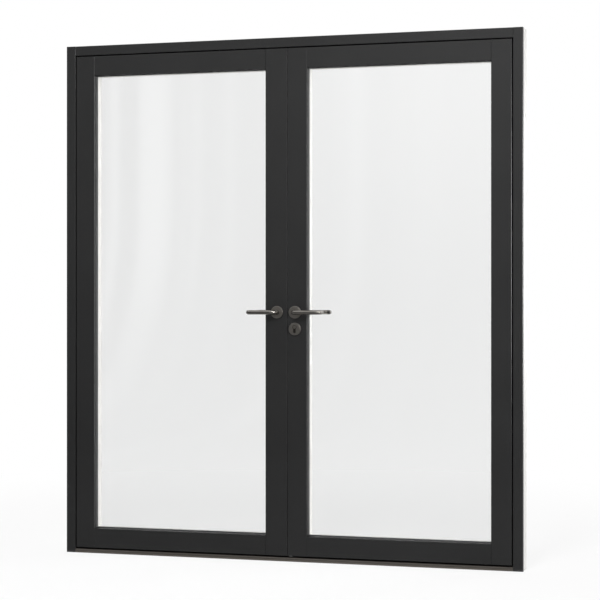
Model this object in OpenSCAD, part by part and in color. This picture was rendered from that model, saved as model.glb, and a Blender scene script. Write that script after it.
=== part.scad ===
// French doors in their frame: two glazed timber leaves with dark aluminium cladding outside,
// opening inwards. X runs along the frame, -Y is the outside, Z is up.
// The origin is the middle of the frame's base.

/* [Overall] */
// Width of the frame
frame_w = 1988; // [1600:1:2400]
// Height of the frame
frame_h = 2188; // [1900:1:2400]
// Depth of the frame and of the leaves
depth = 84; // [78:1:100]

/* [Frame] */
// Face of the jambs and the head, seen from outside
frame_face = 41; // [36:1:60]
// Step of the rebate, by which the inner half of the frame is narrower
rebate = 12; // [10:0.5:14]
// Gap between a leaf and the frame
gap = 5; // [4:0.5:7]
// Depth from the outer face to the stop that the leaf closes against
stop_depth = 36; // [32:1:38]
// Room for the seal between the stop and the leaf
seal_room = 6; // [4:0.5:8]
// Width of the seal
seal_w = 5; // [3:0.5:6]
// Distance of the seal from the edge of the stop
seal_set = 1; // [0.5:0.1:2]
// Gap that the seal keeps to a closed leaf
seal_gap = 0.3; // [0.2:0.1:0.6]
// Diameter of the fixing holes in the jambs
fixing_d = 10; // [6:0.5:14]
// Distance of the outer fixing holes from the ends of a jamb
fixing_end = 350; // [300:10:450]

/* [Threshold] */
// Height of the threshold in front
sill_h = 17; // [14:0.5:24]
// Height of the threshold behind its stop
sill_inner_h = 7; // [6:0.5:9]
// Gap between the threshold and the face of a leaf
sill_gap = 7; // [5:0.5:10]
// Height of the groove that parts the two bands of the front
sill_groove_z = 8; // [6:0.5:10]
// Width and depth of that groove
sill_groove = 1.4; // [1:0.1:2]
// Fall of the threshold's top towards the outside
sill_fall = 1; // [0:0.5:2]
// Radius of the threshold's front edge
sill_nose = 4.2; // [3:0.1:6]

/* [Cladding] */
// Depth of the aluminium cladding
clad_depth = 20; // [17:1:22]
// Wall of the cladding
clad_wall = 2.5; // [2:0.1:3]
// Radius of the cladding's outer edges
clad_round = 2; // [0.5:0.1:2]

/* [Leaves] */
// Face of the stiles and the top rail
stile_face = 84; // [78:1:110]
// Face of the bottom rail below its sloped ledge
bottom_face = 82; // [78:1:140]
// Rise of the bottom rail's sloped ledge
ledge_rise = 4; // [3:0.5:6]
// Clear width of the groove between the meeting stiles
chamber = 12; // [11:0.5:16]
// Slit between the two cladding lips over that groove
slit = 1.2; // [0.8:0.1:2]
// Width of the seal in that groove
meet_seal_w = 7; // [5:0.5:7]
// Gap between that seal and the right leaf
meet_seal_gap = 0.6; // [0.6:0.1:1]
// Chamfer on the edges of the timber's inner faces
arris = 3; // [1:0.5:5]
// Depth of the V-grooves along the joints of the inner face
joint_groove = 1.5; // [0.5:0.1:2.5]
// Length of the tenons in the hinge stiles
tenon_hinge = 45; // [30:1:60]
// Length of the tenons in the meeting stiles
tenon_meeting = 32; // [20:1:36]
// Thickness of the tenons
tenon_t = 15; // [10:1:20]
// Distance from a tenon to the upper and lower faces of its rail
tenon_shoulder = 20; // [15:1:25]

/* [Glass] */
// Thickness of a pane
pane = 4; // [4:0.5:6]
// Space between the panes
cavity = 16; // [12:0.5:16]
// Distance from the outer face of the leaf to the glass
glass_set = 12; // [10:0.5:13]
// Width of the glass edge that the rebate covers
edge_cover = 15; // [12:0.5:18]
// Room around the glass in the rebate
edge_room = 5; // [3:0.5:6]
// Thickness of the glazing gaskets
gasket = 3; // [2:0.5:4]
// Width of the glazing gaskets
gasket_w = 8; // [6:0.5:10]
// Width of the gaskets' soft lips on the visible glass
gasket_lip = 2; // [1:0.1:3]
// Width of the spacer bar between the panes
spacer_w = 13; // [10:0.5:16]
// Distance of the spacer bar from the glass edge
spacer_set = 4; // [2:0.5:5]
// Length of a setting block
block_l = 100; // [60:5:150]
// Distance of the setting blocks from the glass corners
block_end = 100; // [50:5:200]

/* [Hinges] */
// Distance of the outer hinges from the top and bottom of the frame
hinge_end = 230; // [180:5:260]
// Diameter of the barrels
barrel_d = 20; // [16:0.5:21]
// Height of one knuckle
knuckle_h = 45; // [35:1:60]
// Diameter of the hinge pins
pin_d = 9; // [6:0.5:10]
// Height of the head of a hinge pin
pin_head = 3; // [2:0.5:5]
// Width of the barrel's rim around the head of a pin
pin_rim = 1; // [0.5:0.1:2]
// Rounding of the barrels' ends and of the heads of the pins
barrel_round = 1.5; // [0.5:0.1:1.8]
// Distance of the hinge axis from the inner face
hinge_off = 11; // [10.8:0.1:13]
// Diameter of the stems that hold a knuckle in the timber
stem_d = 9; // [6:0.5:10]
// Length of the stems from the hinge axis
stem_l = 34; // [28:1:36]
// Distance of the stems from the ends of their knuckle
stem_end = 12.6; // [8:0.1:12.6]
// Radial clearance of a knuckle on its pin, and the gap between knuckles
hinge_play = 0.2; // [0.1:0.05:0.4]

/* [Handles] */
// Height of the handle axes above the base
handle_z = 1040; // [950:5:1150]
// Distance of the handle axes from the middle
handle_x = 39; // [37:0.5:42]
// Diameter of the roses
rose_d = 52; // [46:0.5:56]
// Thickness of the roses
rose_t = 9; // [6:0.5:10]
// Rounding of the edge of a rose
rose_round = 1.5; // [0.5:0.1:2.5]
// Diameter of the lever's bar
bar_d = 19; // [16:0.5:22]
// Length of a lever from its axis to its outer end
lever_l = 128; // [110:1:150]
// Distance from the leaf's face to the middle of the bar
lever_off = 45; // [42:1:60]
// Radius of the lever's bends, along the middle of the bar
lever_bend = 20; // [16:1:24]
// Gap between the returned end of a lever and the leaf's face
return_gap = 10; // [5:0.5:12]
// Rounding of the returned end of a lever
end_round = 3; // [1:0.5:5]
// Gap between a lever and the rose and leaf around it
lever_play = 0.3; // [0.2:0.05:0.5]
// Side of the square spindle
spindle_w = 8; // [7:0.5:10]
// Length of the spindle in a lever
spindle_grip = 25; // [18:1:25]
// Room around a lever's neck and the lock cylinder in the holes of a leaf
hole_room = 1.5; // [1:0.1:2]

/* [Gear] */
// Thickness of the forend plate
forend_t = 3; // [2:0.5:3]
// Width of the forend plate
forend_w = 18; // [16:1:20]
// Thickness of the gear case
case_t = 20; // [20:1:24]
// Wall of the gear case
case_wall = 1.5; // [1:0.1:2]
// Room between the gear case and the timber
case_room = 0.2; // [0.1:0.05:0.4]
// Height of the gear case above the handle axis
case_up = 50; // [40:1:70]
// Depth of the gear case below the handle axis
case_down = 105; // [100:1:130]
// Module of the pinion and the racks
gear_module = 2; // [1.8:0.05:2.1]
// Number of teeth of the pinion
gear_teeth = 13; // [13:2:13]
// Backlash of the pinion's teeth, and of the racks'
backlash = 0.5; // [0.3:0.05:0.7]
// Thickness of the back of the bottom rod's rack
rack_back = 4; // [3:0.5:5]
// Length of the top rod's rack below the handle axis
rack_below = 22; // [20:0.5:24]
// Diameter of the pinion's hub
hub_d = 16; // [14:0.5:18]
// Thickness of the rods in the groove
rod_t = 4; // [3:0.5:4]
// Width of the rods and the pinion
rod_w = 6; // [5:0.5:6]
// Running clearance of the rods, the bolt and the hub
slide_play = 0.3; // [0.2:0.05:0.4]
// Gap between the layer of the rods and that of the deadbolt
layer_gap = 1; // [0.5:0.1:1.5]
// Height of the foot that carries the bottom rod across
foot_h = 5; // [4:0.5:5]
// Distance of a drawn bottom rod above the leaf's lower edge
rod_drawn = 9; // [8:0.5:15]
// Thickness of the keep plates
keep_t = 2; // [1.5:0.5:2]
// Length of the keep plates
keep_l = 60; // [40:1:80]
// Depth of the hole for the top rod in the head
keep_depth = 18; // [16:0.5:20]

/* [Lock] */
// Distance from the handle axis down to the key plug
plug_down = 62; // [60:0.5:70]
// Distance from the key plug down to the middle of its rose
rose_down = 8; // [6:0.5:10]
// Diameter of the cylinder's round part
cylinder_d = 17; // [16:0.5:18]
// Width of the cylinder's leg
leg_w = 10; // [9:0.5:11]
// Height of the whole cylinder profile
profile_h = 33; // [30:0.5:34]
// Diameter of the plug
plug_d = 13; // [11:0.5:14]
// Radius that the cam sweeps
cam_r = 15; // [13:0.5:15]
// Width of the cam's nose
cam_w = 8; // [6:0.5:8]
// Gap between the cam's sweep and the deadbolt
cam_gap = 2; // [1:0.5:4]
// Length of the cylinder in front of each rose
cylinder_proud = 2; // [0:0.5:3]
// Height and depth of the key slot
key_slot = 8; // [6:0.5:9]
// Width of the key slot
key_slot_w = 2; // [1.5:0.1:3]
// Height of the deadbolt
bolt_h = 16; // [12:0.5:16]
// Thickness of the deadbolt
bolt_t = 7; // [5:0.5:7]
// Length of the deadbolt
bolt_l = 45; // [36:1:45]
// Travel of the deadbolt
bolt_throw = 20; // [18:0.5:21]
// Wall of the deadbolt's keep
keep_wall = 1.2; // [1:0.1:1.5]
// Thickness of the cheek beside the deadbolt in its keep
keep_cheek = 0.5; // [0.4:0.1:0.7]
// Length of the thumb turn
turn_l = 34; // [26:1:36]
// Width of the thumb turn
turn_w = 9; // [7:0.5:11]
// Distance that the thumb turn stands off its rose
turn_off = 16; // [12:1:18]

/* [Hidden] */
$fn = 48;
// A cut runs this far past the face that it opens
eps = 1;
// Straight steps in a quarter turn of a drawn edge
arc_steps = 4;

half_w = frame_w / 2;
y_out = -depth / 2;
y_in = depth / 2;
y_clad = y_out + clad_depth;
y_stop = y_out + stop_depth;
y_leaf = y_stop + seal_room;

// Distances from the frame's outer edge, and the leaf's reach from them
inner_u = frame_face - rebate;
leaf_in_u = inner_u + gap;
leaf_out_u = frame_face + gap;
sight_u = leaf_out_u + stile_face;
hinge_u = inner_u + gap / 2;

// Places along X on the left; the right leaf is the mirror image
leaf_in_x = leaf_in_u - half_w;
leaf_out_x = leaf_out_u - half_w;
sight_x = sight_u - half_w;
sight_m = -(chamber + slit) / 2 - stile_face;
lip = (chamber - slit) / 2;
hinge_x = hinge_u - half_w;
hinge_y = y_in + hinge_off;

// Heights
leaf_in_z = sill_inner_h + gap;
leaf_out_z = sill_h + sill_gap;
leaf_in_top = frame_h - leaf_in_u;
leaf_out_top = frame_h - leaf_out_u;
ledge_z = leaf_out_z + bottom_face;
sight_z = ledge_z + ledge_rise;
sight_top = leaf_out_top - stile_face;

// Glass unit and the rebate that takes it
glass_y = y_out + glass_set;
unit_t = 2 * pane + cavity;
bed_y = glass_y + unit_t + gasket;
lip_y = glass_y - gasket;
rebate_w = edge_cover + edge_room;
glass_box = [
    [sight_x - edge_cover, sight_z - edge_cover],
    [sight_m + edge_cover, sight_top + edge_cover]
];

// Gear: layers in Y, the pinion and its racks
gear_y = (bed_y + y_in) / 2;
rod_y = gear_y - slide_play - layer_gap - rod_w;
bolt_y = gear_y + slide_play;
pitch_r = gear_module * gear_teeth / 2;
tooth_pitch = PI * gear_module;
addendum = 0.8 * gear_module;
dedendum = 1.1 * gear_module;
// Pressure angle of the teeth
pressure = 20;
gear_back = pitch_r + dedendum + rack_back + slide_play + case_wall;
rack_end = tooth_pitch / 2;
foot_top = handle_z - rack_below - rack_end;
rod_back = forend_t + rod_t + 2 * slide_play;
meet_seal_y = (gear_y + forend_w / 2 + y_in - arris) / 2;

plug_z = handle_z - plug_down;
rose_z = plug_z - rose_down;
leg_drop = profile_h - cylinder_d / 2 - leg_w / 2;
bolt_z = plug_z + cam_r + cam_gap;
knuckle_z = [hinge_end, frame_h / 2, frame_h - hinge_end];
stem_z = [stem_end, knuckle_h - stem_end];
// The stems start inside the wall of the barrel
stem_from = (pin_d + barrel_d) / 4;
fixing_z = [fixing_end, frame_h - fixing_end];
fixing_y = (y_stop + y_in) / 2;

clad_colour = "#3d3f41";
timber_colour = "#eceae4";
sill_colour = "#6d665d";
rubber_colour = "#1f1f20";
steel_colour = "#6a655e";
zinc_colour = "#b4b6b8";
glass_colour = [0.86, 0.92, 0.92, 0.35];

// The edge of a meeting stile's timber: the right leaf stands back by the chamber
function edge(right) = right ? -chamber : 0;

function arc(x, y, r, from, to) = [
    for (i = [0:arc_steps])
        let (a = from + (to - from) * i / arc_steps)
        [x + r * cos(a), y + r * sin(a)]
];

// Mirrors a left-hand piece to the right
module hand(right) {
    if (right)
        mirror([1, 0, 0]) children();
    else
        children();
}

module box(low, high) {
    translate(low) cube(high - low);
}

// Carries a section drawn in Y and Z along X
module along_x(from, to) {
    translate([from, 0, 0])
        rotate([90, 0, 90]) linear_extrude(to - from) children();
}

// Carries a section drawn in X and Y along Z
module along_z(from, to) {
    translate([0, 0, from]) linear_extrude(to - from) children();
}

// A round bar along Y
module along_y(d, from, to) {
    translate([0, to, 0]) rotate([90, 0, 0]) cylinder(d = d, h = to - from);
}

// A turned bar along Z with the edge of its upper end rounded
module turned(d, h, r) {
    rotate_extrude() polygon(concat(
        [[0, 0], [d / 2, 0]],
        arc(d / 2 - r, h - r, r, 0, 90),
        [[0, h]]
    ));
}

// Turns a channel's section so that its first coordinate is the height
module upright() {
    rotate(90) mirror([0, 1, 0]) children();
}

// Carries a section round a rectangle; its first coordinate runs inwards from the rectangle
module all_round(x0, x1, z0, z1) {
    along_z(z0, z1) {
        translate([x0, 0]) children();
        translate([x1, 0]) mirror([1, 0]) children();
    }
    along_x(x0, x1) upright() {
        translate([z0, 0]) children();
        translate([z1, 0]) mirror([1, 0]) children();
    }
}

// Section of a cut with two slopes of 45 degrees, to the depth given
module vee(d) {
    rotate(45) square(d / cos(45), center = true);
}

// Cladding channel from a to b, open to the timber: the face is at the outside, the wall at b
// ends at b_y, and a lip may run on past a. The sign of b - a may be either.
module channel(a, b, b_y, leg, over = 0) {
    s = sign(b - a);
    r = clad_round;
    w = clad_wall;
    polygon(concat(
        [[a, y_clad]],
        over == 0 ? [] : [[a, y_out + w], [a - s * over, y_out + w]],
        [for (p = arc(0, y_out + r, r, 180, 270)) [a - s * over + s * (p[0] + r), p[1]]],
        [for (p = arc(0, y_out + r, r, 270, 360)) [b + s * (p[0] - r), p[1]]],
        [[b, b_y], [b - s * w, b_y], [b - s * w, y_out + w]],
        leg == 0 ? [] : [
            [b - s * leg, y_out + w], [b - s * leg, y_clad],
            [b - s * (leg + w), y_clad], [b - s * (leg + w), y_out + w]
        ],
        [[a + s * w, y_out + w], [a + s * w, y_clad]]
    ));
}

// Frame

// Section of the frame's timber, drawn from its outer edge towards the opening
module frame_section() {
    polygon([
        [0, y_clad], [frame_face, y_clad], [frame_face, y_stop], [inner_u, y_stop],
        [inner_u, y_in - arris], [inner_u - arris, y_in], [0, y_in]
    ]);
}

module jamb_bar(right) {
    hand(right) along_z(0, frame_h) translate([-half_w, 0]) frame_section();
}

// The stems of a knuckle, in the XY direction that turn gives
module stems(turn, from) {
    for (z = stem_z)
        translate([0, 0, z]) rotate([90, 0, turn])
            translate([0, 0, from]) cylinder(d = stem_d, h = stem_l - from);
}

module frame_stems() {
    for (z = knuckle_z)
        translate([hinge_x, hinge_y, z - knuckle_h]) stems(-45, 0);
}

module leaf_stems() {
    for (z = knuckle_z)
        translate([hinge_x, hinge_y, z]) stems(45, 0);
}

module jamb(right) {
    difference() {
        jamb_bar(right);
        hand(right) {
            frame_stems();
            for (z = fixing_z)
                translate([-half_w - eps, fixing_y, z])
                    rotate([0, 90, 0]) cylinder(d = fixing_d, h = frame_face);
        }
    }
}

module left_jamb() {
    color(timber_colour) jamb(false);
}

module right_jamb() {
    color(timber_colour) jamb(true);
}

// The hole that a rod shoots into, grown by the running clearance
module rod_hole(right, from, to) {
    e = edge(right);
    hand(right)
        box([e - rod_back, rod_y - slide_play, from], [e - forend_t, rod_y + rod_w + slide_play, to]);
}

module keep_plate(right, z) {
    e = edge(right);
    mid = e - forend_t;
    hand(right) box(
        [mid - keep_l / 2, rod_y - rod_w, z],
        [mid + keep_l / 2, rod_y + 2 * rod_w, z + keep_t]
    );
}

module keep_plates() {
    for (right = [false, true]) {
        keep_plate(right, frame_h - inner_u);
        keep_plate(right, sill_inner_h - keep_t);
    }
}

// The head is coped to the jambs, which run through
module head() {
    in_low = frame_h - inner_u;
    color(timber_colour) difference() {
        along_x(-half_w, half_w) upright() translate([frame_h, 0]) mirror([1, 0]) frame_section();
        keep_plates();
        for (right = [false, true]) {
            jamb_bar(right);
            rod_hole(right, in_low, in_low + keep_depth);
        }
    }
}

module threshold() {
    g = sill_groove;
    groove_top = sill_groove_z + 1.5 * g;
    nose = min(sill_nose, sill_h - sill_fall - groove_top);
    color(sill_colour) difference() {
        union() {
            along_x(frame_face - half_w, half_w - frame_face) polygon(concat(
                [[y_out, 0], [y_out, sill_groove_z], [y_out + g, sill_groove_z + g / 2]],
                [[y_out + g, sill_groove_z + g], [y_out, groove_top]],
                arc(y_out + nose, sill_h - sill_fall - nose, nose, 180, 90),
                [[y_stop, sill_h], [y_stop, 0]]
            ));
            box([inner_u - half_w, y_stop, 0], [half_w - inner_u, y_in, sill_inner_h]);
        }
        keep_plates();
        for (right = [false, true])
            rod_hole(right, -eps, sill_inner_h);
    }
}

module jamb_cladding(right) {
    hand(right) along_z(0, frame_h) channel(-half_w, frame_face - half_w, y_clad, 0);
}

module left_jamb_cladding() {
    color(clad_colour) jamb_cladding(false);
}

module right_jamb_cladding() {
    color(clad_colour) jamb_cladding(true);
}

module head_cladding() {
    color(clad_colour) along_x(frame_face - half_w, half_w - frame_face)
        upright() channel(frame_h, frame_h - frame_face, y_clad, 0);
}

// The seal stands on the stop, with a round crown towards the leaf
module frame_seal() {
    u = frame_face - seal_set - seal_w;
    z = sill_h - seal_set - seal_w;
    r = seal_w / 2;
    crown_y = y_leaf - seal_gap - r;
    color(rubber_colour) all_round(u - half_w, half_w - u, z, frame_h - u) {
        translate([0, y_stop]) square([seal_w, crown_y - y_stop]);
        translate([r, crown_y]) circle(r);
    }
}

module bolt_keeps() {
    color(zinc_colour) difference() {
        keep_plates();
        for (right = [false, true])
            rod_hole(right, -eps, frame_h);
    }
}

// Hinges

module frame_knuckles() {
    color(zinc_colour) for (right = [false, true], z = knuckle_z)
        hand(right) translate([hinge_x, hinge_y, z - knuckle_h]) difference() {
            union() {
                translate([0, 0, knuckle_h - hinge_play])
                    mirror([0, 0, 1]) turned(barrel_d, knuckle_h - hinge_play, barrel_round);
                stems(-45, stem_from);
            }
            translate([0, 0, -eps]) cylinder(d = pin_d, h = knuckle_h + 2 * eps);
        }
}

module hinge_pins() {
    color(zinc_colour) for (right = [false, true], z = knuckle_z)
        hand(right) translate([hinge_x, hinge_y, z - knuckle_h]) {
            cylinder(d = pin_d, h = 2 * knuckle_h + hinge_play);
            translate([0, 0, 2 * knuckle_h + hinge_play])
                turned(barrel_d - 2 * pin_rim, pin_head, barrel_round);
        }
}

module knuckles(right) {
    hand(right) for (z = knuckle_z)
        translate([hinge_x, hinge_y, z]) difference() {
            union() {
                cylinder(d = barrel_d, h = knuckle_h);
                stems(45, stem_from);
            }
            translate([0, 0, -eps]) cylinder(d = pin_d + 2 * hinge_play, h = knuckle_h + 2 * eps);
        }
}

module left_knuckles() {
    color(zinc_colour) knuckles(false);
}

module right_knuckles() {
    color(zinc_colour) knuckles(true);
}

// Leaf timber

// A tenon at both ends of the rail between the heights from and to
module tenon(from, to) {
    box(
        [sight_x - tenon_hinge, gear_y - tenon_t / 2, from + tenon_shoulder],
        [sight_m + tenon_meeting, gear_y + tenon_t / 2, to - tenon_shoulder]
    );
}

module tenons() {
    tenon(leaf_in_z, sight_z);
    tenon(sight_top, leaf_in_top);
}

// A stile between two places along X, with the stepped edge at its ends
module stile_block(in_x0, out_x0, x1) {
    box([in_x0, y_leaf, leaf_in_z], [x1, y_in, leaf_in_top]);
    box([out_x0, y_clad, leaf_out_z], [x1, y_leaf, leaf_out_top]);
}

// The rebate that takes the glass edge
module glass_rebate() {
    box(
        [sight_x - rebate_w, y_clad - eps, sight_z - rebate_w],
        [sight_m + rebate_w, bed_y, sight_top + rebate_w]
    );
}

// Chamfers around the opening and the leaf, and V-grooves along the joints, on the inner face
module arrises(right) {
    all_round(sight_x, sight_m, sight_z, sight_top) translate([0, y_in]) vee(arris);
    all_round(leaf_in_x, edge(right), leaf_in_z, leaf_in_top) translate([0, y_in]) vee(arris);
    for (x = [sight_x, sight_m])
        along_z(leaf_in_z, leaf_in_top) translate([x, y_in]) vee(joint_groove);
}

module hinge_stile(right) {
    hand(right) difference() {
        stile_block(leaf_in_x, leaf_out_x, sight_x);
        glass_rebate();
        tenons();
        leaf_stems();
        arrises(right);
    }
}

module left_hinge_stile() {
    color(timber_colour) hinge_stile(false);
}

module right_hinge_stile() {
    color(timber_colour) hinge_stile(true);
}

// Room for the lock cylinder through the leaf, grown by room
module cylinder_section(room) {
    circle(d = cylinder_d + 2 * room);
    translate([-leg_w / 2 - room, -leg_drop]) square([leg_w + 2 * room, leg_drop]);
    translate([0, -leg_drop]) circle(d = leg_w + 2 * room);
}

module cylinder_bar(room, from, to) {
    translate([-handle_x, to, plug_z]) rotate([90, 0, 0]) linear_extrude(to - from) cylinder_section(room);
}

// Holes for the spindle, and for the lock cylinder where there is one
module handle_holes(right, from, to) {
    translate([-handle_x, 0, handle_z]) along_y(bar_d + 2 * hole_room, from, to);
    if (right)
        cylinder_bar(hole_room, from, to);
}

module gear_block(right, room) {
    box(
        [-handle_x - gear_back - room, gear_y - case_t / 2 - room, handle_z - case_down - room],
        [edge(right) - forend_t, gear_y + case_t / 2 + room, handle_z + case_up + room]
    );
}

module meeting_stile(right) {
    e = edge(right);
    hand(right) difference() {
        union() {
            box([sight_m, y_leaf, leaf_in_z], [e, y_in, leaf_in_top]);
            box([sight_m, y_clad, leaf_out_z], [e, y_leaf, leaf_out_top]);
        }
        glass_rebate();
        tenons();
        arrises(right);
        box(
            [e - rod_back, gear_y - forend_w / 2, leaf_in_z - eps],
            [e + eps, gear_y + forend_w / 2, leaf_in_top + eps]
        );
        gear_block(right, case_room);
        handle_holes(right, y_clad - eps, y_in + eps);
    }
}

module left_meeting_stile() {
    color(timber_colour) meeting_stile(false);
}

module right_meeting_stile() {
    color(timber_colour) meeting_stile(true);
}

module top_rail(right) {
    hand(right) difference() {
        union() {
            box([sight_x, y_leaf, sight_top], [sight_m, y_in, leaf_in_top]);
            box([sight_x, y_clad, sight_top], [sight_m, y_leaf, leaf_out_top]);
            tenon(sight_top, leaf_in_top);
        }
        glass_rebate();
        arrises(right);
    }
}

module left_top_rail() {
    color(timber_colour) top_rail(false);
}

module right_top_rail() {
    color(timber_colour) top_rail(true);
}

module bottom_rail(right) {
    hand(right) difference() {
        union() {
            box([sight_x, y_leaf, leaf_in_z], [sight_m, y_in, sight_z]);
            box([sight_x, y_clad, leaf_out_z], [sight_m, y_leaf, sight_z]);
            tenon(leaf_in_z, sight_z);
        }
        glass_rebate();
        arrises(right);
    }
}

module left_bottom_rail() {
    color(timber_colour) bottom_rail(false);
}

module right_bottom_rail() {
    color(timber_colour) bottom_rail(true);
}

// Leaf cladding

module hinge_stile_cladding(right) {
    hand(right) along_z(leaf_out_z, leaf_out_top) channel(leaf_out_x, sight_x, lip_y, rebate_w);
}

module left_hinge_stile_cladding() {
    color(clad_colour) hinge_stile_cladding(false);
}

module right_hinge_stile_cladding() {
    color(clad_colour) hinge_stile_cladding(true);
}

// The channel of the meeting stile, with the thin lip that closes the groove between the leaves
module meeting_stile_cladding(right) {
    e = edge(right);
    hand(right) difference() {
        along_z(leaf_out_z, leaf_out_top) channel(e, sight_m, lip_y, rebate_w, lip);
        handle_holes(right, y_out - eps, y_clad);
    }
}

module left_meeting_stile_cladding() {
    color(clad_colour) meeting_stile_cladding(false);
}

module right_meeting_stile_cladding() {
    color(clad_colour) meeting_stile_cladding(true);
}

module top_rail_cladding(right) {
    hand(right) along_x(sight_x, sight_m) upright() channel(leaf_out_top, sight_top, lip_y, rebate_w);
}

module left_top_rail_cladding() {
    color(clad_colour) top_rail_cladding(false);
}

module right_top_rail_cladding() {
    color(clad_colour) top_rail_cladding(true);
}

// The bottom rail's cladding ends in a ledge that slopes up to the glass
module bottom_rail_cladding(right) {
    w = clad_wall;
    r = clad_round;
    leg_z = sight_z - rebate_w;
    hand(right) along_x(sight_x, sight_m) polygon(concat(
        [[y_clad, leaf_out_z]],
        arc(y_out + r, leaf_out_z + r, r, 270, 180),
        [[y_out, ledge_z], [lip_y, sight_z], [lip_y, sight_z - w], [y_out + w, ledge_z - w]],
        [[y_out + w, leg_z], [y_clad, leg_z], [y_clad, leg_z - w], [y_out + w, leg_z - w]],
        [[y_out + w, leaf_out_z + w], [y_clad, leaf_out_z + w]]
    ));
}

module left_bottom_rail_cladding() {
    color(clad_colour) bottom_rail_cladding(false);
}

module right_bottom_rail_cladding() {
    color(clad_colour) bottom_rail_cladding(true);
}

// Glass

module glass(right) {
    low = glass_box[0];
    high = glass_box[1];
    hand(right) for (y = [glass_y, glass_y + pane + cavity])
        box([low[0], y, low[1]], [high[0], y + pane, high[1]]);
}

module left_glass() {
    color(glass_colour) glass(false);
}

module right_glass() {
    color(glass_colour) glass(true);
}

module spacer(right) {
    low = glass_box[0] + [spacer_set, spacer_set];
    high = glass_box[1] - [spacer_set, spacer_set];
    hand(right) all_round(low[0], high[0], low[1], high[1])
        translate([0, glass_y + pane]) square([spacer_w, cavity]);
}

module left_spacer() {
    color(rubber_colour) spacer(false);
}

module right_spacer() {
    color(rubber_colour) spacer(true);
}

// Section of a gasket that lies on the glass at y = 0, with a soft lip over the visible glass
module gasket_section() {
    polygon(concat([[0, 0], [0, gasket]], arc(gasket_w + gasket_lip - gasket, 0, gasket, 90, 0)));
}

// One gasket under the cladding's lip, one on the timber bed
module gaskets(right) {
    set = edge_cover - gasket_w;
    low = glass_box[0] + [set, set];
    high = glass_box[1] - [set, set];
    hand(right) all_round(low[0], high[0], low[1], high[1]) {
        translate([0, glass_y]) mirror([0, 1]) gasket_section();
        translate([0, bed_y - gasket]) gasket_section();
    }
}

// The seal on the left leaf's edge, with a round nose towards the right leaf
module meeting_seal() {
    r = meet_seal_w / 2;
    reach = chamber - meet_seal_gap - r;
    along_z(leaf_in_z, leaf_in_top) translate([0, meet_seal_y]) {
        translate([0, -r]) square([reach, meet_seal_w]);
        translate([reach, 0]) circle(r);
    }
}

module left_gaskets() {
    color(rubber_colour) {
        gaskets(false);
        meeting_seal();
    }
}

module right_gaskets() {
    color(rubber_colour) gaskets(true);
}

module setting_blocks(right) {
    low = glass_box[0];
    hand(right) for (x = [low[0] + block_end, glass_box[1][0] - block_end - block_l])
        box([x, glass_y, low[1] - edge_room], [x + block_l, glass_y + unit_t, low[1]]);
}

module left_setting_blocks() {
    color(rubber_colour) setting_blocks(false);
}

module right_setting_blocks() {
    color(rubber_colour) setting_blocks(true);
}

// Gear

module bolt_slot(right) {
    e = edge(right);
    box(
        [e - bolt_l - slide_play, bolt_y - slide_play, bolt_z - slide_play],
        [e + eps, bolt_y + bolt_t + slide_play, bolt_z + bolt_h + slide_play]
    );
}

module forend(right) {
    e = edge(right);
    hand(right) difference() {
        box([e - forend_t, gear_y - forend_w / 2, leaf_in_z], [e, gear_y + forend_w / 2, leaf_in_top]);
        bolt_slot(right);
    }
}

module left_forend() {
    color(zinc_colour) forend(false);
}

module right_forend() {
    color(zinc_colour) forend(true);
}

module gear_case(right) {
    w = case_wall;
    hand(right) difference() {
        gear_block(right, 0);
        box(
            [-handle_x - gear_back + w, gear_y - case_t / 2 + w, handle_z - case_down + w],
            [edge(right) + eps, gear_y + case_t / 2 - w, handle_z + case_up - w]
        );
        box(
            [edge(right) - rod_back, rod_y - slide_play, handle_z - case_down - eps],
            [edge(right) + eps, rod_y + rod_w + slide_play, handle_z + case_up + eps]
        );
        translate([-handle_x, 0, handle_z])
            along_y(hub_d + 2 * slide_play, gear_y - case_t, gear_y + case_t);
        if (right)
            cylinder_bar(slide_play, gear_y - case_t, gear_y + case_t);
    }
}

module left_gear_case() {
    color(zinc_colour) gear_case(false);
}

module right_gear_case() {
    color(zinc_colour) gear_case(true);
}

module left_deadbolt_keep() {
    w = keep_wall;
    p = slide_play;
    depth_in = forend_t + bolt_throw - chamber;
    color(zinc_colour) difference() {
        box(
            [-depth_in - w, bolt_y - p, bolt_z - p - w],
            [-forend_t, bolt_y + bolt_t + p + keep_cheek, bolt_z + bolt_h + p + w]
        );
        box([-depth_in, bolt_y - p - eps, bolt_z - p], [0, bolt_y + bolt_t + p, bolt_z + bolt_h + p]);
    }
}

// Angles of a tooth's flank from its middle, at the root, the base, the pitch and the tip circle
function flank() = let (
        base_r = pitch_r * cos(pressure),
        tip_r = pitch_r + addendum,
        half = (tooth_pitch / 2 - backlash) / (2 * pitch_r),
        inv = tan(pressure) - pressure * PI / 180,
        tip_a = acos(base_r / tip_r),
        inv_tip = tan(tip_a) - tip_a * PI / 180,
        at_base = (half + inv) * 180 / PI
    ) [
        [pitch_r - dedendum, at_base],
        [base_r, at_base],
        [pitch_r, half * 180 / PI],
        [tip_r, (half + inv - inv_tip) * 180 / PI]
    ];

module pinion_section() {
    f = flank();
    polygon([
        for (i = [0:gear_teeth - 1], k = [0:7])
            let (
                p = f[k < 4 ? k : 7 - k],
                a = 360 * i / gear_teeth + (k < 4 ? -p[1] : p[1])
            ) p[0] * [cos(a), sin(a)]
    ]);
}

// The pinion lies in the rods' layer, and its hub runs in both walls of the case
module pinion(right) {
    hand(right) translate([-handle_x, 0, handle_z]) difference() {
        union() {
            translate([0, rod_y + rod_w, 0]) rotate([90, 0, 0]) linear_extrude(rod_w) pinion_section();
            along_y(hub_d, gear_y - case_t / 2, gear_y + case_t / 2);
        }
        cube([spindle_w, depth, spindle_w], center = true);
    }
}

module left_pinion() {
    color(zinc_colour) pinion(false);
}

module right_pinion() {
    color(zinc_colour) pinion(true);
}

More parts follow.
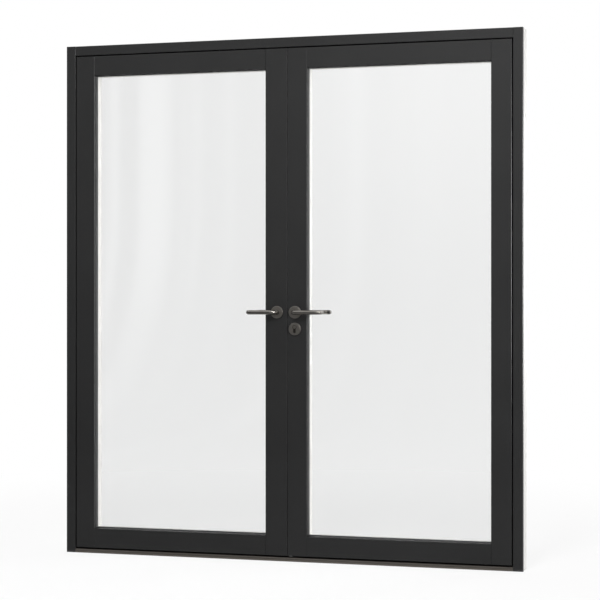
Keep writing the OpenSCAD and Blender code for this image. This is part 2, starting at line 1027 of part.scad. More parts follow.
module spindle(right) {
    reach = spindle_grip + y_in;
    hand(right) translate([-handle_x, 0, handle_z])
        cube([spindle_w, 2 * reach, spindle_w], center = true);
}

module left_spindle() {
    color(steel_colour) spindle(false);
}

module right_spindle() {
    color(steel_colour) spindle(true);
}

// Rack teeth that point along -X from the pitch line at X = 0, at each height in heights
module rack_teeth(heights) {
    half = (tooth_pitch / 2 - backlash) / 2;
    root = half + dedendum * tan(pressure);
    tip = half - addendum * tan(pressure);
    for (z = heights)
        translate([0, z])
            polygon([[dedendum, root], [-addendum, tip], [-addendum, -tip], [dedendum, -root]]);
}

// Carries a section drawn in X and Z through the rods' layer
module rod_layer() {
    translate([0, rod_y + rod_w, 0]) rotate([90, 0, 0]) linear_extrude(rod_w) children();
}

// The top rod has its rack on the side of the pinion that faces the meeting edge
module top_rod(right) {
    rod_x = edge(right) - forend_t - slide_play;
    line = pitch_r - handle_x;
    hand(right) rod_layer() {
        translate([rod_x - rod_t, foot_top + slide_play])
            square([rod_t, leaf_in_top - slide_play - foot_top - slide_play]);
        translate([line + dedendum, foot_top + slide_play])
            square([rod_x - line - dedendum, rack_below + rack_end + 2 * tooth_pitch]);
        translate([line, handle_z]) rack_teeth([for (k = [-3:1]) (k - 0.5) * tooth_pitch]);
    }
}

module left_top_rod() {
    color(zinc_colour) top_rod(false);
}

module right_top_rod() {
    color(zinc_colour) top_rod(true);
}

// The bottom rod has its rack on the far side, and a foot below the pinion leads to the groove
module bottom_rod(right) {
    rod_x = edge(right) - forend_t - slide_play;
    line = -pitch_r - handle_x;
    back = line - dedendum - rack_back;
    low = leaf_in_z + rod_drawn;
    hand(right) rod_layer() {
        translate([rod_x - rod_t, low]) square([rod_t, foot_top - low - slide_play]);
        translate([back, foot_top - foot_h - slide_play]) square([rod_x - back, foot_h]);
        translate([back, foot_top - foot_h - slide_play])
            square([rack_back, handle_z - foot_top + foot_h + 4 * tooth_pitch + rack_end]);
        translate([line, handle_z]) mirror([1, 0]) rack_teeth([for (k = [-1:4]) k * tooth_pitch]);
    }
}

module left_bottom_rod() {
    color(zinc_colour) bottom_rod(false);
}

module right_bottom_rod() {
    color(zinc_colour) bottom_rod(true);
}

// Handles

// A rose on the face at y = 0, standing out along -Y, with its front edge rounded
module rose() {
    rotate([90, 0, 0]) turned(rose_d, rose_t, rose_round);
}

// Places a piece made for the outer face on the outer and on the inner face of a leaf
module both_faces() {
    translate([0, y_out, 0]) children();
    translate([0, y_in, 0]) mirror([0, 1, 0]) children();
}

module roses(right) {
    hand(right) {
        both_faces() translate([-handle_x, 0, handle_z]) difference() {
            rose();
            along_y(bar_d + 2 * lever_play, -rose_t - eps, eps);
        }
        if (right)
            difference() {
                both_faces() translate([-handle_x, 0, rose_z]) rose();
                cylinder_bar(lever_play, y_out - 2 * rose_t, y_in + 2 * rose_t);
            }
    }
}

module left_roses() {
    color(steel_colour) roses(false);
}

module right_roses() {
    color(steel_colour) roses(true);
}

// A quarter bend of the lever's bar, from the angle given
module lever_elbow(from) {
    rotate(from) rotate_extrude(angle = 90) translate([lever_bend, 0]) circle(d = bar_d);
}

// A round bar bent out of its rose, along the leaf towards -X and back to the leaf
module lever() {
    b = lever_bend;
    off = lever_off;
    reach = lever_l - bar_d / 2;
    difference() {
        union() {
            along_y(bar_d, b - off, -lever_play);
            translate([-b, b - off, 0]) lever_elbow(-90);
            translate([b - reach, -off, 0]) rotate([0, 90, 0]) cylinder(d = bar_d, h = reach - 2 * b);
            translate([b - reach, b - off, 0]) lever_elbow(180);
            translate([-reach, b - off, 0]) rotate([-90, 0, 0])
                turned(bar_d, off - b - return_gap, end_round);
        }
        cube([spindle_w, 2 * spindle_grip, spindle_w], center = true);
    }
}

module outer_lever(right) {
    hand(right) translate([-handle_x, y_out, handle_z]) lever();
}

module inner_lever(right) {
    hand(right) translate([-handle_x, y_in, handle_z]) mirror([0, 1, 0]) lever();
}

module left_outer_lever() {
    color(steel_colour) outer_lever(false);
}

module left_inner_lever() {
    color(steel_colour) inner_lever(false);
}

module right_outer_lever() {
    color(steel_colour) outer_lever(true);
}

module right_inner_lever() {
    color(steel_colour) inner_lever(true);
}

// Lock, on the right leaf

module cylinder_body() {
    reach = rose_t + cylinder_proud;
    color(zinc_colour) hand(true) difference() {
        cylinder_bar(0, y_out - reach, y_in + reach);
        translate([-handle_x, 0, plug_z]) {
            along_y(plug_d + 2 * slide_play, y_out - reach - eps, y_in + reach + eps);
            box(
                [-cylinder_d, bolt_y - slide_play, -cam_r - slide_play],
                [cylinder_d, bolt_y + bolt_t + slide_play, cylinder_d]
            );
        }
    }
}

// The plug runs through the cylinder and carries the cam that draws the deadbolt
module cylinder_plug() {
    reach = rose_t + cylinder_proud;
    cam_l = sqrt(pow(cam_r, 2) - pow(cam_w / 2, 2));
    color(steel_colour) hand(true) translate([-handle_x, 0, plug_z]) difference() {
        union() {
            along_y(plug_d, y_out - reach, y_in + reach);
            along_y(cylinder_d, bolt_y, bolt_y + bolt_t);
            box([-cam_w / 2, bolt_y, -cam_l], [cam_w / 2, bolt_y + bolt_t, 0]);
        }
        box(
            [-key_slot_w / 2, y_out - reach - eps, -key_slot / 2],
            [key_slot_w / 2, y_out - reach + key_slot, key_slot / 2]
        );
    }
}

module thumb_turn() {
    y = y_in + rose_t + cylinder_proud;
    color(steel_colour) hand(true) translate([-handle_x, 0, plug_z]) {
        along_y(plug_d, y, y + turn_off / 2);
        translate([0, y + turn_off, 0]) rotate([90, 0, 0]) linear_extrude(turn_off / 2) {
            square([turn_w, turn_l - turn_w], center = true);
            for (z = [-1, 1])
                translate([0, z * (turn_l - turn_w) / 2]) circle(d = turn_w);
        }
    }
}

module deadbolt() {
    e = edge(true);
    color(zinc_colour) hand(true)
        box([e - bolt_l, bolt_y, bolt_z], [e, bolt_y + bolt_t, bolt_z + bolt_h]);
}

left_jamb();
right_jamb();
head();
threshold();
left_jamb_cladding();
right_jamb_cladding();
head_cladding();
frame_seal();
bolt_keeps();
frame_knuckles();
hinge_pins();
left_hinge_stile();
left_meeting_stile();
left_top_rail();
left_bottom_rail();
left_hinge_stile_cladding();
left_meeting_stile_cladding();
left_top_rail_cladding();
left_bottom_rail_cladding();
left_glass();
left_spacer();
left_gaskets();
left_setting_blocks();
left_knuckles();
left_forend();
left_gear_case();
left_roses();
left_deadbolt_keep();
left_outer_lever();
left_inner_lever();
left_spindle();
left_pinion();
left_top_rod();
left_bottom_rod();
right_hinge_stile();
right_meeting_stile();
right_top_rail();
right_bottom_rail();
right_hinge_stile_cladding();
right_meeting_stile_cladding();
right_top_rail_cladding();
right_bottom_rail_cladding();
right_glass();
right_spacer();
right_gaskets();
right_setting_blocks();
right_knuckles();
right_forend();
right_gear_case();
right_roses();
right_outer_lever();
right_inner_lever();
right_spindle();
right_pinion();
right_top_rod();
right_bottom_rod();
cylinder_body();
cylinder_plug();
thumb_turn();
deadbolt();
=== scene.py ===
import math

import bpy
import numpy as np
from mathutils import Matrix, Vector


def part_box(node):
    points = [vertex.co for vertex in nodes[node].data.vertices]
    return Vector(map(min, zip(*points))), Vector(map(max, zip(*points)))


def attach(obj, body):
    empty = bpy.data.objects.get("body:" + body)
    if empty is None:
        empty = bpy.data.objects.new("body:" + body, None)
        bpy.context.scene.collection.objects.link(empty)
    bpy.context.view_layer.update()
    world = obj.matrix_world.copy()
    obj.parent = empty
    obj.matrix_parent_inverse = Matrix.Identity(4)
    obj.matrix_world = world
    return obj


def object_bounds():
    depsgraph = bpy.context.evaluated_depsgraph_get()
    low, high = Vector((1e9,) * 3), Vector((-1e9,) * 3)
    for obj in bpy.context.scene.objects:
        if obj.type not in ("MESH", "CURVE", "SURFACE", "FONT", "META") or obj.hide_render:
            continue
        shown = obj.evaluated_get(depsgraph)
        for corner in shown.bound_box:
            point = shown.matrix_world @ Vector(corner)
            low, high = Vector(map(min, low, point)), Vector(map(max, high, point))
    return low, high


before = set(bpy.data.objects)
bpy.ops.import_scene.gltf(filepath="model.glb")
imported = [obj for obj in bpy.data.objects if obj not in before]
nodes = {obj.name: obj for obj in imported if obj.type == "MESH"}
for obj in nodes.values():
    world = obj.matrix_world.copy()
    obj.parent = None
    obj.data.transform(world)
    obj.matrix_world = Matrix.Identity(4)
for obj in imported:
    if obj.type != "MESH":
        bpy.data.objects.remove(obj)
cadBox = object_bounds()
print("frame loaded:", len(nodes), "nodes")


# Materials. All patterns read Object coordinates, in metres.

def newMaterial(name):
    material = bpy.data.materials.new(name)
    material.use_nodes = True
    tree = material.node_tree
    return material, tree, tree.nodes["Principled BSDF"]


# a node with its sockets or its settings given by name
def addNode(tree, kind, **values):
    node = tree.nodes.new(kind)
    for key, value in values.items():
        if key in node.inputs:
            node.inputs[key].default_value = value
        else:
            setattr(node, key, value)
    return node


# noise on Object coordinates, with a scale for each axis
def addNoise(tree, stretch, detail=3.0, rough=0.5):
    where = addNode(tree, "ShaderNodeTexCoord")
    mapping = addNode(tree, "ShaderNodeMapping", Scale=stretch)
    noise = addNode(tree, "ShaderNodeTexNoise", Scale=1.0, Detail=detail, Roughness=rough)
    tree.links.new(where.outputs["Object"], mapping.inputs["Vector"])
    tree.links.new(mapping.outputs["Vector"], noise.inputs["Vector"])
    return noise.outputs["Fac"]


def addRamp(tree, source, stops):
    ramp = addNode(tree, "ShaderNodeValToRGB")
    for element, (place, colour) in zip(ramp.color_ramp.elements, stops):
        element.position = place
        element.color = (*colour, 1.0)
    tree.links.new(source, ramp.inputs["Fac"])
    return ramp.outputs["Color"]


def addRange(tree, source, low, high):
    spread = addNode(tree, "ShaderNodeMapRange")
    spread.inputs["To Min"].default_value = low
    spread.inputs["To Max"].default_value = high
    tree.links.new(source, spread.inputs["Value"])
    return spread.outputs["Result"]


# a smooth change from one value to another over a stretch of the source
def addFade(tree, source, stretch, values):
    fade = addNode(tree, "ShaderNodeMapRange", interpolation_type="SMOOTHSTEP")
    for socket, value in zip(("From Min", "From Max", "To Min", "To Max"), (*stretch, *values)):
        fade.inputs[socket].default_value = value
    tree.links.new(source, fade.inputs["Value"])
    return fade.outputs["Result"]


# a sum of two terms, each a number or another node's output
def addMath(tree, operation, first, second):
    node = addNode(tree, "ShaderNodeMath", operation=operation)
    for socket, term in zip(node.inputs, (first, second)):
        if isinstance(term, float):
            socket.default_value = term
        else:
            tree.links.new(term, socket)
    return node.outputs["Value"]


def addBump(tree, shader, source, strength, distance):
    bump = addNode(tree, "ShaderNodeBump", Strength=strength, Distance=distance)
    tree.links.new(source, bump.inputs["Height"])
    tree.links.new(bump.outputs["Normal"], shader.inputs["Normal"])


mottleStops = (0.3, 0.7)  # where the noise is fully dark and fully light


# a surface with a mottled colour, a varying roughness and a fine bump
def surfaceFinish(name, look):
    material, tree, shader = newMaterial(name)
    mottle = addNoise(tree, look["mottle"])
    colour = addRamp(tree, mottle, zip(mottleStops, (look["dark"], look["light"])))
    tree.links.new(colour, shader.inputs["Base Color"])
    grain = addNoise(tree, look["grain"], detail=4.0, rough=0.6)
    tree.links.new(addRange(tree, grain, *look["rough"]), shader.inputs["Roughness"])
    addBump(tree, shader, grain, look["bump"], look["depth"])
    shader.inputs["Metallic"].default_value = look["metal"]
    shader.inputs["Specular IOR Level"].default_value = look["shine"]
    return material


def even(scale):
    return (scale, scale, scale)


claddingLook = {
    "dark": (0.0148, 0.0149, 0.0150), "light": (0.0176, 0.0177, 0.0178), "mottle": even(3.0),
    "grain": even(1400.0), "rough": (0.22, 0.30), "bump": 0.05, "depth": 0.0004,
    "metal": 0.0, "shine": 0.5,
}
timberLook = {
    "dark": (0.77, 0.76, 0.73), "light": (0.83, 0.82, 0.79), "mottle": even(2.0),
    "rough": (0.28, 0.40), "bump": 0.12, "depth": 0.0004, "metal": 0.0, "shine": 0.45,
    # the rebate colour: dark paint that also serves as painted shade in the gaps round the leaves
    "rebate": (0.0160, 0.0161, 0.0162, 1.0),
    "split": 0.0006,  # the y where the dark rebate paint ends
    "margin": 0.006,  # how far in from the frame's outer faces it starts
}
thresholdLook = {
    "dark": (0.074, 0.066, 0.057), "light": (0.104, 0.094, 0.083), "mottle": (1.5, 60.0, 220.0),
    "grain": (8.0, 900.0, 900.0), "rough": (0.34, 0.48), "bump": 0.10, "depth": 0.0003,
    "metal": 0.4, "shine": 0.4,
}
rubberLook = {
    "dark": (0.009, 0.009, 0.009), "light": (0.014, 0.014, 0.014), "mottle": even(30.0),
    "grain": even(1600.0), "rough": (0.55, 0.70), "bump": 0.10, "depth": 0.0003,
    "metal": 0.0, "shine": 0.3,
}
spacerLook = {
    "dark": (0.012, 0.012, 0.012), "light": (0.020, 0.020, 0.020), "mottle": even(60.0),
    "grain": even(700.0), "rough": (0.50, 0.65), "bump": 0.15, "depth": 0.0005,
    "metal": 0.0, "shine": 0.3,
}
handleLook = {
    "dark": (0.235, 0.222, 0.204), "light": (0.285, 0.270, 0.250), "mottle": even(40.0),
    "grain": (60.0, 1500.0, 1500.0), "rough": (0.13, 0.21), "bump": 0.02, "depth": 0.0002,
    "metal": 1.0, "shine": 0.5,
}
roseLook = {
    "dark": (0.300, 0.280, 0.256), "light": (0.370, 0.347, 0.318), "mottle": even(60.0),
    "grain": (1200.0, 60.0, 1200.0), "rough": (0.24, 0.34), "bump": 0.03, "depth": 0.0002,
    "metal": 1.0, "shine": 0.5,
}
# the cylinder body's colour is darkened as painted shade round the plug
shadedLockLook = {
    "dark": (0.060, 0.054, 0.048), "light": (0.090, 0.082, 0.074), "mottle": even(90.0),
    "grain": even(1200.0), "rough": (0.24, 0.36), "bump": 0.04, "depth": 0.0002,
    "metal": 1.0, "shine": 0.5,
}
# the plug is a lighter copy of the body's finish, a painted highlight
highlightPlugLook = {**shadedLockLook, "dark": (0.32, 0.30, 0.27), "light": (0.42, 0.40, 0.37)}
zincLook = {
    "dark": (0.44, 0.45, 0.46), "light": (0.58, 0.59, 0.60), "mottle": even(50.0),
    "grain": (700.0, 700.0, 60.0), "rough": (0.26, 0.42), "bump": 0.05, "depth": 0.0003,
    "metal": 1.0, "shine": 0.5,
}


mixSockets = {"share": 0, "first": 6, "second": 7, "result": 2}  # of a Mix node set to colours


# white paint; the rebates on the weather side, away from the frame's outer faces, are painted dark: a
# two-tone finish whose dark also stands in as painted shade in the gaps round the leaves
def paintedTimber(name, look):
    material = surfaceFinish(name, look)
    tree = material.node_tree
    shader = tree.nodes["Principled BSDF"]
    white = shader.inputs["Base Color"].links[0].from_socket
    where = addNode(tree, "ShaderNodeSeparateXYZ")
    tree.links.new(addNode(tree, "ShaderNodeTexCoord").outputs["Object"], where.inputs["Vector"])
    across = addMath(tree, "ABSOLUTE", where.outputs["X"], 0.0)
    limits = (float(cadBox[1][0]) - look["margin"], look["split"], float(cadBox[1][2]) - look["margin"])
    inside = [addMath(tree, "LESS_THAN", place, limit)
              for place, limit in zip((across, where.outputs["Y"], where.outputs["Z"]), limits)]
    # the mask of the dark rebate paint, which is also painted shade in the gaps
    rebate = addMath(tree, "MULTIPLY", addMath(tree, "MULTIPLY", inside[0], inside[1]), inside[2])
    mix = addNode(tree, "ShaderNodeMix", data_type="RGBA")
    tree.links.new(rebate, mix.inputs[mixSockets["share"]])
    tree.links.new(white, mix.inputs[mixSockets["first"]])
    mix.inputs[mixSockets["second"]].default_value = look["rebate"]
    tree.links.new(mix.outputs[mixSockets["result"]], shader.inputs["Base Color"])
    return material


glassLook = {"tint": (0.967, 0.969, 0.968, 1.0), "index": 1.5, "rough": 0.0, "through": 1.0}


# clear panes that let the lamps' light through
def clearGlass(name, look):
    material, tree, shader = newMaterial(name)
    shader.inputs["Base Color"].default_value = look["tint"]
    shader.inputs["Roughness"].default_value = look["rough"]
    shader.inputs["IOR"].default_value = look["index"]
    shader.inputs["Transmission Weight"].default_value = look["through"]
    path = addNode(tree, "ShaderNodeLightPath")
    clear = addNode(tree, "ShaderNodeBsdfTransparent")
    clear.inputs["Color"].default_value = look["tint"]
    mix = addNode(tree, "ShaderNodeMixShader")
    tree.links.new(path.outputs["Is Shadow Ray"], mix.inputs[0])
    tree.links.new(shader.outputs["BSDF"], mix.inputs[1])
    tree.links.new(clear.outputs["BSDF"], mix.inputs[2])
    tree.links.new(mix.outputs["Shader"], tree.nodes["Material Output"].inputs["Surface"])
    return material


cladding = surfaceFinish("anthraciteCoat", claddingLook)
timberUpright = paintedTimber("whitePaintUpright", {**timberLook, "grain": (260.0, 260.0, 9.0)})
timberAcross = paintedTimber("whitePaintAcross", {**timberLook, "grain": (9.0, 260.0, 260.0)})
sillMetal = surfaceFinish("sillMetal", thresholdLook)
rubber = surfaceFinish("sealRubber", rubberLook)
spacerBar = surfaceFinish("spacerBar", spacerLook)
handleSteel = surfaceFinish("darkSteel", handleLook)
roseSteel = surfaceFinish("roseSteel", roseLook)
shadedLockSteel = surfaceFinish("shadedLockSteel", shadedLockLook)
highlightPlugSteel = surfaceFinish("highlightPlugSteel", highlightPlugLook)
zinc = surfaceFinish("zincSteel", zincLook)
glass = clearGlass("clearPane", glassLook)

# the finish of each node, by the end of its name; the first that fits holds
finishOf = [
    ("cladding", cladding), ("jamb", timberUpright), ("stile", timberUpright), ("rail", timberAcross),
    ("head", timberAcross), ("threshold", sillMetal), ("glass", glass), ("spacer", spacerBar),
    ("gaskets", rubber), ("seal", rubber), ("setting_blocks", rubber), ("lever", handleSteel),
    ("roses", roseSteel), ("cylinder_body", shadedLockSteel), ("cylinder_plug", highlightPlugSteel),
    ("thumb_turn", handleSteel), ("", zinc),
]
for name, obj in nodes.items():
    material = next(look for end, look in finishOf if name.endswith(end))
    obj.data.materials.clear()
    obj.data.materials.append(material)
print("finishes set on", len(nodes), "nodes")


# New pieces: grids of points, closed across their columns, joined into one mesh

# quads over the rows and columns; rows that don't close on themselves get a face over each end
def bandFaces(rows, columns, closeRows):
    i = np.arange(rows if closeRows else rows - 1)[:, None]
    j = np.arange(columns)[None, :]
    up, on = (i + 1) % rows, (j + 1) % columns
    corners = (i * columns + j, i * columns + on, up * columns + on, up * columns + j)
    faces = np.stack(np.broadcast_arrays(*corners), -1).reshape(-1, 4).tolist()
    if not closeRows:
        first = list(range(columns))
        faces += [first[::-1], [(rows - 1) * columns + k for k in first]]
    return faces


# turned so that the volume, summed over fans of triangles, is positive: faces point outwards
def outwards(points, faces):
    fans = np.array([(f[0], f[k], f[k + 1]) for f in faces for k in range(1, len(f) - 1)])
    a, b, c = points[fans[:, 0]], points[fans[:, 1]], points[fans[:, 2]]
    volume = np.einsum("ij,ij->", a, np.cross(b, c))
    return faces if volume > 0 else [f[::-1] for f in faces]


sharpAngle = 30.0  # edges that turn by more degrees than this stay crisp


# one object of several grids, which rides on a body
def addPiece(name, grids, closeRows, material, body):
    points, faces = [], []
    for grid in grids:
        flat = grid.reshape(-1, 3)
        start = sum(len(p) for p in points)
        shell = outwards(flat - flat.mean(0), bandFaces(*grid.shape[:2], closeRows))
        points.append(flat)
        faces += [[k + start for k in face] for face in shell]
    mesh = bpy.data.meshes.new(name)
    mesh.from_pydata(np.concatenate(points).tolist(), [], faces)
    mesh.polygons.foreach_set("use_smooth", np.ones(len(faces), dtype=bool))
    mesh.set_sharp_from_angle(angle=math.radians(sharpAngle))
    mesh.materials.append(material)
    obj = bpy.data.objects.new(name, mesh)
    bpy.context.scene.collection.objects.link(obj)
    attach(obj, body)


# a grid made about the Z axis, with Z turned to an axis and its middle moved to a place
def placed(grid, place, axis):
    up = np.array(axis, dtype=float)
    across = np.array([0.0, 0.0, 1.0]) if abs(up[2]) < 0.5 else np.array([1.0, 0.0, 0.0])
    return grid @ np.stack([across, np.cross(up, across), up]) + np.array(place)


def middle(low, high):
    return (np.array(low) + np.array(high)) / 2


neckRing = {"radius": 0.00965, "section": 0.0009, "around": 56, "across": 12}


# a torus: a small circle carried round the lever's neck
def ringGrid(ring):
    u = np.linspace(0.0, 2 * np.pi, ring["around"], endpoint=False)[:, None]
    v = np.linspace(0.0, 2 * np.pi, ring["across"], endpoint=False)[None, :]
    reach = ring["radius"] + ring["section"] * np.cos(v)
    height = ring["section"] * np.sin(v) + 0.0 * u
    return np.stack([reach * np.cos(u), reach * np.sin(u), height], -1)


# a bearing ring in dark rubber, whose dark also stands in as painted shade round the lever's neck
def addNeckRings(side):
    low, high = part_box(side + "_roses")
    axis = middle(*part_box(side + "_spindle"))
    faces = ((low[1], -1), (high[1], 1))
    grids = [placed(ringGrid(neckRing), (axis[0], y, axis[2]), (0, way, 0)) for y, way in faces]
    addPiece(side + "_neck_rings", grids, True, rubber, side + "_leaf")


screw = {
    "head": 0.0036, "crown": 0.0012, "edge": 0.0003, "sunk": 0.0004,
    "core": 0.0005, "arm": 0.0017, "recess": 0.0009, "narrow": 5, "around": 40,
    "recessRows": (0.2, 0.92), "domeRows": (0.0, 0.3, 0.65, 0.9, 1.0),
    "forendCount": 10, "forendEnd": 0.06, "keepEnd": 0.008,
    "keepGap": 0.005,  # between a leaf and the keep plates above and below it
}


# a raised head: the height falls from the crown to the edge with the square of the radius, and a recess
# whose rim swings from core to arm four times round is sunk into it
def screwGrid(look):
    angle = np.linspace(0.0, 2 * np.pi, look["around"], endpoint=False)[None, :]
    rim = look["core"] + (look["arm"] - look["core"]) * np.abs(np.cos(2 * angle)) ** look["narrow"]
    inside = np.array(look["recessRows"])[:, None] * rim
    outside = rim + np.array(look["domeRows"])[:, None] * (look["head"] - rim)
    radius = np.concatenate([inside, outside, outside[-1:]])
    dome = look["edge"] + (look["crown"] - look["edge"]) * (1 - (outside / look["head"]) ** 2)
    bottom = np.full_like(inside, look["crown"] - look["recess"])
    height = np.concatenate([bottom, dome, np.full_like(rim, -look["sunk"])])
    return np.stack([radius * np.cos(angle), radius * np.sin(angle), height], -1)


def addForendScrews(side, way):
    low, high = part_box(side + "_forend")
    x = high[0] if way > 0 else low[0]
    y = middle(low, high)[1]
    heights = np.linspace(low[2] + screw["forendEnd"], high[2] - screw["forendEnd"], screw["forendCount"])
    grids = [placed(screwGrid(screw), (x, y, z), (way, 0, 0)) for z in heights]
    addPiece(side + "_forend_screws", grids, False, zinc, side + "_leaf")


# three in each keep plate: near both ends and midway between the holes for the rods
def addKeepScrews():
    low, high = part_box("bolt_keeps")
    y = middle(low, high)[1]
    between = (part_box("left_forend")[1][0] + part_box("right_forend")[0][0]) / 2
    across = (low[0] + screw["keepEnd"], between, high[0] - screw["keepEnd"])
    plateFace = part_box("left_top_rail")[1][2] + screw["keepGap"]
    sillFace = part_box("left_bottom_rail")[0][2] - screw["keepGap"]
    grids = [placed(screwGrid(screw), (x, y, plateFace), (0, 0, -1)) for x in across]
    grids += [placed(screwGrid(screw), (x, y, sillFace), (0, 0, 1)) for x in across]
    addPiece("keep_screws", grids, False, zinc, "frame")


endCap = {
    "wall": 0.0028, "room": 0.0003, "depth": 0.011, "sunk": 0.0012,
    "edge": 0.0006, "rim": 0.003, "dish": 0.0008, "power": 12.0, "around": 64,
}


# a superellipse of a high power, which is a rectangle with soft corners, carried up through rows of
# inset and height, with a dish in its top
def capGrid(low, high, cap):
    angle = np.linspace(0.0, 2 * np.pi, cap["around"], endpoint=False)[None, :]
    waves = (np.cos(angle), np.sin(angle))
    across, along = (np.sign(wave) * np.abs(wave) ** (2 / cap["power"]) for wave in waves)
    start = np.array(low) + (cap["wall"], cap["wall"], 0.0)
    end = np.array(high) - (cap["wall"], cap["room"], 0.0)
    centre, half = middle(start, end), (end - start) / 2
    top = high[2] - cap["sunk"]
    inset = np.array([0.0, 0.0, cap["edge"], cap["rim"], cap["rim"] + cap["dish"]])[:, None]
    height = top - np.array([cap["depth"], cap["edge"], 0.0, 0.0, cap["dish"]])[:, None]
    x = centre[0] + (half[0] - inset) * across
    y = centre[1] + (half[1] - inset) * along
    return np.stack([x, y, height + 0.0 * angle], -1)


def addEndCaps():
    grids = [capGrid(*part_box(side + "_jamb_cladding"), endCap) for side in ("left", "right")]
    addPiece("jamb_end_caps", grids, False, rubber, "frame")


for side, way in (("left", 1), ("right", -1)):
    addNeckRings(side)
    addForendScrews(side, way)
addKeepScrews()
addEndCaps()
print("neck rings, screws and end caps added")


# Studio: floor, card, lamps, world and camera

studio = {
    "floorSize": 60.0, "floorColour": (0.86, 0.86, 0.86), "floorRough": 0.9,
    "floorNear": 0.84, "floorFade": (1.2, 4.0), "ambient": (0.53, 0.53, 0.53),
}
# places and stretches in metres; dim, glow, low and bands are strengths
card = {
    "left": -14.0, "right": 9.0, "near": -0.06, "bend": 2.0, "wall": -9.0, "top": 8.0, "floor": 0.004,
    "behind": 8.0, "steps": 16, "dim": 0.03, "glow": 0.68, "across": (-5.0, -0.4), "climb": (0.8, 3.6),
    "low": (0.15, 0.36), "lowAcross": (-2.4, 0.2), "bands": 0.55, "bandEdge": (0.44, 0.60),
    "bandScale": (1.8, 0.0, 0.0), "bandDetail": 2.0, "bandLow": 0.30, "bandRise": (0.2, 2.0),
}
lamps = {
    "key": {"place": (0.5, -4.6, 3.75), "aim": (0.0, 0.0, 1.1), "size": (1.2, 1.2), "power": 210.0,
            "glossy": False, "diffuse": True},
    "glint": {"place": (2.4, -3.0, 3.4), "aim": (0.6, 0.0, 1.5), "size": (1.1, 1.1), "power": 50.0,
              "glossy": True, "diffuse": False},
    "side": {"place": (5.0, -2.2, 1.5), "aim": (0.0, 0.0, 1.1), "size": (1.3, 1.4), "power": 160.0,
             "glossy": True, "diffuse": False},
    "room": {"place": (4.2, 5.2, 1.5), "aim": (0.0, 0.0, 1.1), "size": (2.2, 2.2), "power": 160.0,
             "glossy": True, "diffuse": True},
}
# the turn is in degrees about Z, the focal length and the sensor in millimetres
lens = {"place": (2.149, -7.090, 1.0913), "turn": 16.507, "focal": 105.94, "sensor": 36.0, "far": 200.0}


# 1 for rays that show the background: from the camera, and from mirrors and glass
def backgroundRay(tree):
    path = addNode(tree, "ShaderNodeLightPath")
    total = path.outputs["Is Camera Ray"]
    for kind in ("Is Glossy Ray", "Is Transmission Ray"):
        total = addMath(tree, "MAXIMUM", total, path.outputs[kind])
    return total


def makeWorld():
    world = bpy.data.worlds.new("whiteStudio")
    bpy.context.scene.world = world
    world.use_nodes = True
    tree = world.node_tree
    tree.nodes.clear()
    out = addNode(tree, "ShaderNodeOutputWorld")
    soft = addNode(tree, "ShaderNodeBackground")
    soft.inputs["Color"].default_value = (*studio["ambient"], 1.0)
    white = addNode(tree, "ShaderNodeBackground")
    white.inputs["Color"].default_value = (1.0, 1.0, 1.0, 1.0)
    mix = addNode(tree, "ShaderNodeMixShader")
    tree.links.new(backgroundRay(tree), mix.inputs[0])
    tree.links.new(soft.outputs["Background"], mix.inputs[1])
    tree.links.new(white.outputs["Background"], mix.inputs[2])
    tree.links.new(mix.outputs["Shader"], out.inputs["Surface"])


def stageObject(name, points, faces, material):
    mesh = bpy.data.meshes.new(name)
    mesh.from_pydata(points, [], faces)
    mesh.materials.append(material)
    obj = bpy.data.objects.new(name, mesh)
    bpy.context.scene.collection.objects.link(obj)
    return obj


# the floor glows white for the background's rays; near the object a share of it takes the shadow
def makeFloor():
    half = studio["floorSize"] / 2
    material, tree, shader = newMaterial("paleFloor")
    shader.inputs["Base Color"].default_value = (*studio["floorColour"], 1.0)
    shader.inputs["Roughness"].default_value = studio["floorRough"]
    shader.inputs["Specular IOR Level"].default_value = 0.0
    where = addNode(tree, "ShaderNodeTexCoord")
    distance = addNode(tree, "ShaderNodeVectorMath", operation="LENGTH")
    tree.links.new(where.outputs["Object"], distance.inputs[0])
    fade = addFade(tree, distance.outputs["Value"], studio["floorFade"], (studio["floorNear"], 1.0))
    glow = addNode(tree, "ShaderNodeEmission")
    mix = addNode(tree, "ShaderNodeMixShader")
    tree.links.new(addMath(tree, "MULTIPLY", backgroundRay(tree), fade), mix.inputs[0])
    tree.links.new(shader.outputs["BSDF"], mix.inputs[1])
    tree.links.new(glow.outputs["Emission"], mix.inputs[2])
    tree.links.new(mix.outputs["Shader"], tree.nodes["Material Output"].inputs["Surface"])
    corners = [(-half, -half, 0.0), (half, -half, 0.0), (half, half, 0.0), (-half, half, 0.0)]
    stageObject("paleFloor", corners, [(0, 1, 2, 3)], material)


# the card's points: flat, then a quarter circle, then upright, with an upright side at its left end
def cardShape():
    turn = np.linspace(0.0, np.pi / 2, card["steps"])
    y = np.concatenate([[card["near"]], card["wall"] + card["bend"] * (1 - np.sin(turn)), [card["wall"]]])
    z = np.concatenate([[0.0], card["bend"] * (1 - np.cos(turn)), [card["top"]]]) + card["floor"]
    ends = np.array([card["left"], card["right"]])
    points = np.stack(np.broadcast_arrays(ends[None, :], y[:, None], z[:, None]), -1).reshape(-1, 3)
    first = 2 * np.arange(len(y) - 1)
    faces = np.stack([first, first + 1, first + 3, first + 2], -1).tolist()
    faces.append([len(points) + k for k in range(4)])
    foot = ((card["wall"], card["floor"]), (card["behind"], card["floor"]))
    edge = ((card["behind"], card["top"]), (card["wall"], card["top"]))
    return points.tolist() + [(card["left"], *corner) for corner in foot + edge], faces


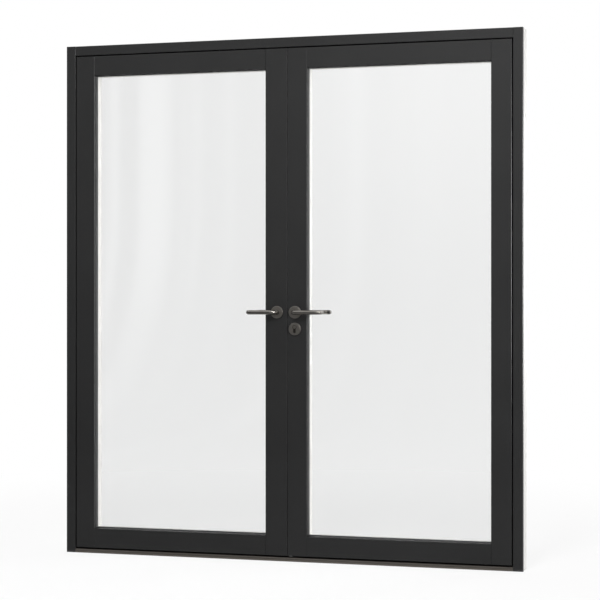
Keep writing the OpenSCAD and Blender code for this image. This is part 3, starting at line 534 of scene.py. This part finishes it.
# brighter to the right and upwards, with soft upright bands at the left
def cardGlow(tree):
    where = addNode(tree, "ShaderNodeSeparateXYZ")
    tree.links.new(addNode(tree, "ShaderNodeTexCoord").outputs["Object"], where.inputs["Vector"])
    right = addFade(tree, where.outputs["X"], card["across"], (0.0, 1.0))
    low = addFade(tree, where.outputs["X"], card["lowAcross"], card["low"])
    climb = addFade(tree, where.outputs["Z"], card["climb"], (0.0, 1.0))
    high = addMath(tree, "ADD", addMath(tree, "MULTIPLY", climb, addMath(tree, "SUBTRACT", 1.0, low)), low)
    sky = addMath(tree, "MULTIPLY", addMath(tree, "MULTIPLY", right, high), card["glow"])
    rise = addFade(tree, where.outputs["Z"], card["bandRise"], (card["bandLow"], 1.0))
    left = addMath(tree, "MULTIPLY", addMath(tree, "SUBTRACT", 1.0, right), rise)
    noise = addNoise(tree, card["bandScale"], detail=card["bandDetail"])
    band = addFade(tree, noise, card["bandEdge"], (0.0, card["bands"]))
    bands = addMath(tree, "ADD", addMath(tree, "MULTIPLY", left, band), card["dim"])
    return addMath(tree, "ADD", sky, bands)


# a grey card in front, seen only in reflections
def makeCard():
    material, tree, _ = newMaterial("greyCard")
    glow = addNode(tree, "ShaderNodeEmission")
    tree.links.new(cardGlow(tree), glow.inputs["Strength"])
    clear = addNode(tree, "ShaderNodeBsdfTransparent")
    mirrored = addMath(tree, "MINIMUM", addNode(tree, "ShaderNodeLightPath").outputs["Glossy Depth"], 1.0)
    mix = addNode(tree, "ShaderNodeMixShader")
    tree.links.new(mirrored, mix.inputs[0])
    tree.links.new(clear.outputs["BSDF"], mix.inputs[1])
    tree.links.new(glow.outputs["Emission"], mix.inputs[2])
    tree.links.new(mix.outputs["Shader"], tree.nodes["Material Output"].inputs["Surface"])
    obj = stageObject("greyCard", *cardShape(), material)
    obj.visible_camera = False
    obj.visible_diffuse = False
    obj.visible_shadow = False


def aimAt(obj, place, aim):
    direction = np.array(aim) - np.array(place)
    obj.location = place
    flat = math.hypot(direction[0], direction[1])
    obj.rotation_euler = (math.atan2(flat, -direction[2]), 0.0, math.atan2(-direction[0], direction[1]))


def makeLamps():
    for name, lamp in lamps.items():
        light = bpy.data.lights.new(name + "Lamp", "AREA")
        light.shape = "RECTANGLE"
        light.size, light.size_y = lamp["size"]
        light.energy = lamp["power"]
        obj = bpy.data.objects.new(name + "Lamp", light)
        bpy.context.scene.collection.objects.link(obj)
        aimAt(obj, lamp["place"], lamp["aim"])
        obj.visible_camera = False
        obj.visible_transmission = False
        obj.visible_glossy = lamp["glossy"]
        obj.visible_diffuse = lamp["diffuse"]


def makeCamera():
    camera = bpy.data.cameras.new("photoCamera")
    camera.lens = lens["focal"]
    camera.sensor_width = lens["sensor"]
    camera.clip_end = lens["far"]
    obj = bpy.data.objects.new("photoCamera", camera)
    bpy.context.scene.collection.objects.link(obj)
    obj.location = lens["place"]
    obj.rotation_euler = (math.radians(90.0), 0.0, math.radians(lens["turn"]))
    bpy.context.scene.camera = obj


makeWorld()
makeFloor()
makeCard()
makeLamps()
makeCamera()
bpy.context.scene.view_settings.view_transform = "Standard"
print("studio ready")
